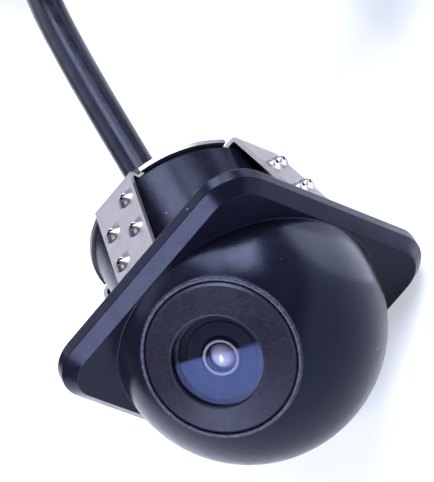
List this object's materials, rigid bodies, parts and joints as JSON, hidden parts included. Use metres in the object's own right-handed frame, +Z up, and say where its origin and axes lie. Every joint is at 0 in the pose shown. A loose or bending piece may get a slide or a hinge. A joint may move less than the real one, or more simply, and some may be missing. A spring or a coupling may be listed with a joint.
{
  "type": "backup camera",
  "caption": "Flush-mount vehicle backup camera: domed head on a square flange, spring-clip legs round its barrel and a coiled lead with a screw plug.",
  "frame": {"origin": "centre of the flange's flat back face, on the barrel's axis", "axes": "+Y runs back along the barrel, the way the lead leaves; +Z is up, the side that the lens is tilted towards; -Y is the front"},
  "size_m": [0.0507, 0.1196, 0.0272],
  "materials": {
    "satin_black_plastic": "satin black moulded plastic",
    "retainer_plastic": "fine satin black plastic",
    "coated_glass": "clear glass with a faint blue coating",
    "black_rubber": "matte black rubber",
    "matte_black_plastic": "matte black plastic",
    "lens_glass": "polished lens glass",
    "filter_glass": "infrared-cut glass",
    "chip_epoxy": "matte black moulded epoxy",
    "circuit_board": "green solder mask",
    "plated_steel": "bright zinc plate",
    "ceramic": "tan ceramic",
    "polyimide": "amber polyimide film",
    "capacitor_can": "dark blue sleeve",
    "ferrite": "dark grey ferrite",
    "socket_plastic": "ivory nylon",
    "wire_insulation": "coloured wire insulation",
    "spring_steel": "satin stainless spring steel",
    "cable_jacket": "satin black cable jacket",
    "tie_fabric": "black woven hook-and-loop strap",
    "plug_plastic": "matte black overmoulding",
    "gold_contact": "gold plate",
    "red_rubber": "red silicone",
    "nut_metal": "dark nickel plate, knurled"
  },
  "bodies": {
    "root": {"housing": "satin_black_plastic", "lens_retainer": "retainer_plastic", "cover_window": "coated_glass", "window_gasket": "black_rubber", "lens_barrel": "matte_black_plastic", "front_element": "lens_glass", "element_spacer": "matte_black_plastic", "middle_element": "lens_glass", "aperture_stop": "matte_black_plastic", "rear_element": "lens_glass", "lens_holder": "matte_black_plastic", "infrared_filter": "filter_glass", "image_sensor": "chip_epoxy", "sensor_board": "circuit_board", "video_chip": "chip_epoxy", "clock_crystal": "plated_steel", "sensor_board_capacitors": "ceramic", "holder_screws": "plated_steel", "board_ribbon": "polyimide", "power_board": "circuit_board", "filter_capacitor": "capacitor_can", "voltage_regulator": "chip_epoxy", "power_coil": "ferrite", "board_socket": "socket_plastic", "wire_plug": "socket_plastic", "lead_wires": "wire_insulation", "rear_cap": "matte_black_plastic", "rear_seal": "black_rubber", "cable_boot": "black_rubber", "clip_plate": "spring_steel", "clip_screws": "plated_steel", "cable": "cable_jacket", "cable_coil": "cable_jacket", "coil_tie": "tie_fabric", "cable_tail": "cable_jacket", "plug_body": "plug_plastic", "plug_insert": "matte_black_plastic", "plug_contacts": "gold_contact", "plug_seal": "red_rubber"},
    "clip_leg_top": {"clip_leg_top": "spring_steel"},
    "clip_leg_right": {"clip_leg_right": "spring_steel"},
    "clip_leg_bottom": {"clip_leg_bottom": "spring_steel"},
    "clip_leg_left": {"clip_leg_left": "spring_steel"},
    "plug_nut": {"plug_nut": "nut_metal"}
  },
  "joints": [
    {"name": "leg_top_flex", "type": "hinge", "parent": "root", "child": "clip_leg_top", "pos_m": [0, 0.0113, 0.00926], "axis": [1, 0, 0], "range_deg": [0, 12], "stiffness_Nm_per_rad": 0.4},
    {"name": "leg_right_flex", "type": "hinge", "parent": "root", "child": "clip_leg_right", "pos_m": [0.00926, 0.0113, 0], "axis": [0, 0, -1], "range_deg": [0, 12], "stiffness_Nm_per_rad": 0.4},
    {"name": "leg_bottom_flex", "type": "hinge", "parent": "root", "child": "clip_leg_bottom", "pos_m": [0, 0.0113, -0.00926], "axis": [-1, 0, 0], "range_deg": [0, 12], "stiffness_Nm_per_rad": 0.4},
    {"name": "leg_left_flex", "type": "hinge", "parent": "root", "child": "clip_leg_left", "pos_m": [-0.00926, 0.0113, 0], "axis": [0, 0, 1], "range_deg": [0, 12], "stiffness_Nm_per_rad": 0.4},
    {"name": "plug_nut_turn", "type": "hinge", "parent": "root", "child": "plug_nut", "pos_m": [0.0294, 0.03, -0.0071], "axis": [0, -1, 0], "continuous": true}
  ]
}
